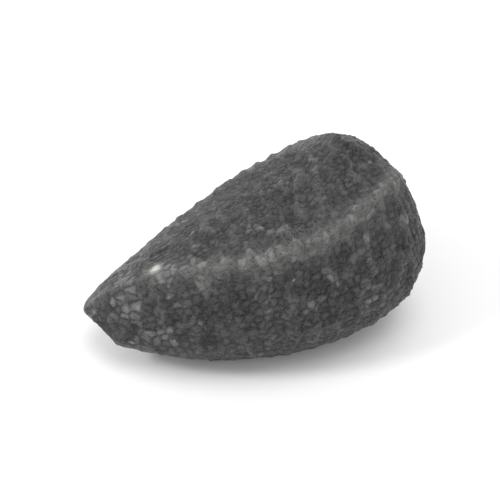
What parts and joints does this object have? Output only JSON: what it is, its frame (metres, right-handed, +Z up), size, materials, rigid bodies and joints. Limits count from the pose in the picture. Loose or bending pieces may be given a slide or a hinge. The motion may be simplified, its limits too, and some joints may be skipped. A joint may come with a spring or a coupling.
{
  "type": "black cumin seed",
  "caption": "Drop-shaped seed with a pointed, slant-cut hilum end, a blunt end, raised long ridges and a coat of raised net, lying on its belly.",
  "frame": {"origin": "on the resting surface, under the middle of the seed's box", "axes": "+X from the pointed hilum end to the blunt end, +Y away from the main ridge's side, +Z up from the resting surface"},
  "size_m": [0.0028, 0.0018, 0.0015],
  "materials": {
    "testa": "matte"
  },
  "bodies": {
    "root": {"seed": "testa"}
  },
  "joints": []
}
